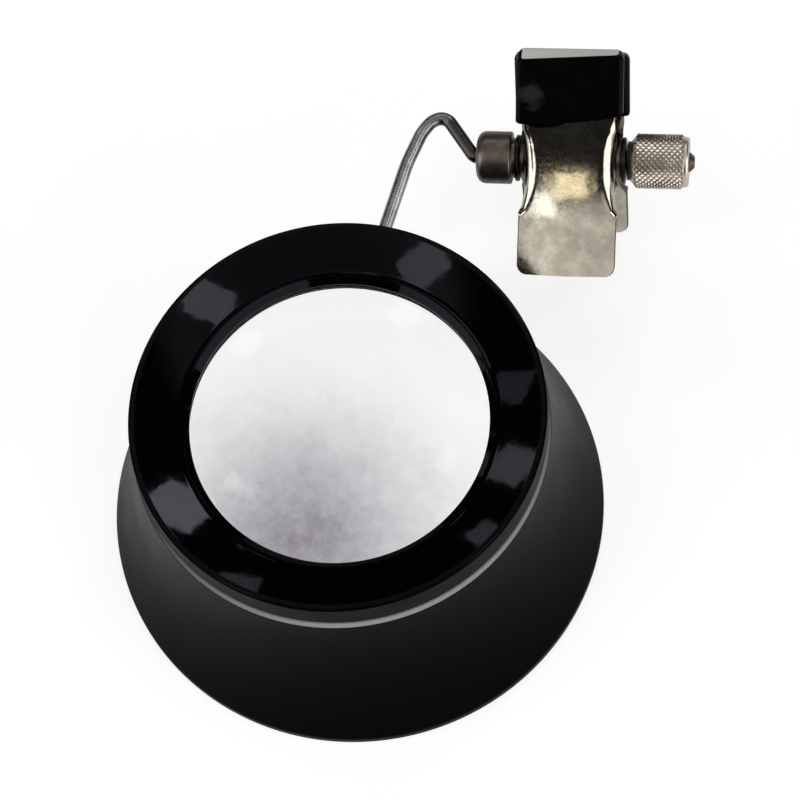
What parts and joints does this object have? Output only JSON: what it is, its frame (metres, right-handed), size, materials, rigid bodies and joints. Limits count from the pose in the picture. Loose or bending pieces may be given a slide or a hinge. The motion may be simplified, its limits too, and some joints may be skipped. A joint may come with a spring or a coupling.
{
  "type": "clip-on eye loupe",
  "caption": "Eye loupe with a flared black cup and one lens, on a bent wire arm with a sprung spectacle clip and a knurled thumb nut.",
  "frame": {"origin": "centre of the wide rim's plane, on the optical axis", "axes": "+Z along the optical axis from the wide rim to the front ring, +Y towards the lug and the wire arm, +X along the clip's shaft, towards the thumb nut"},
  "size_m": [0.0449, 0.0548, 0.0203],
  "materials": {
    "satin_black_plastic": "satin moulding",
    "gloss_black_plastic": "polished",
    "clear_lens": "polished",
    "black_rubber": "matt",
    "brass": "turned",
    "bare_steel": "drawn and lightly worn",
    "dark_nickel": "dark, satin",
    "bright_nickel": "bright, a little mottled",
    "black_vinyl": "soft satin",
    "warm_nickel": "knurled"
  },
  "bodies": {
    "loupe": {"cup": "satin_black_plastic", "front_ring": "gloss_black_plastic", "lens": "clear_lens", "lens_gasket": "black_rubber", "lens_ring": "gloss_black_plastic", "lug_sleeve": "brass", "lug_set_screw": "bare_steel"},
    "arm": {"wire_arm": "bare_steel", "barrel": "dark_nickel", "stud": "dark_nickel", "barrel_washer": "bare_steel", "nut_washer": "bare_steel"},
    "clip": {"front_lever": "bright_nickel", "front_jaw_sleeve": "black_vinyl", "spring_bush": "bare_steel", "torsion_spring": "bare_steel"},
    "jaw": {"rear_lever": "bright_nickel", "rear_jaw_sleeve": "black_vinyl"},
    "nut_seat": {"spring_washer": "bare_steel"},
    "nut": {"knurled_nut": "warm_nickel"}
  },
  "joints": [
    {"name": "arm_turn", "type": "hinge", "parent": "loupe", "child": "arm", "pos_m": [0, 0, 0.0042], "axis": [0, 0.9781, 0.2079], "range_deg": [-80, 180]},
    {"name": "clip_flip", "type": "hinge", "parent": "arm", "child": "clip", "pos_m": [0.01483, 0.02785, 0.01056], "axis": [0.998, 0.0232, 0.0584], "continuous": true},
    {"name": "jaw_open", "type": "hinge", "parent": "clip", "child": "jaw", "pos_m": [0.01483, 0.02785, 0.01056], "axis": [-0.998, -0.0232, -0.0584], "range_deg": [0, 30], "stiffness_Nm_per_rad": 0.0154, "springref_deg": -34.38, "deforming": ["torsion_spring"]},
    {"name": "nut_travel", "type": "slide", "parent": "arm", "child": "nut_seat", "axis": [0.998, 0.0232, 0.0584], "range_m": [0, 0.00105]},
    {"name": "nut_turn", "type": "hinge", "parent": "nut_seat", "child": "nut", "pos_m": [0.01483, 0.02785, 0.01056], "axis": [0.998, 0.0232, 0.0584], "range_deg": [0, 1081]}
  ],
  "couplings": [
    {"joint": "nut_turn", "follows": "nut_travel", "rad_per_m": 17952}
  ]
}
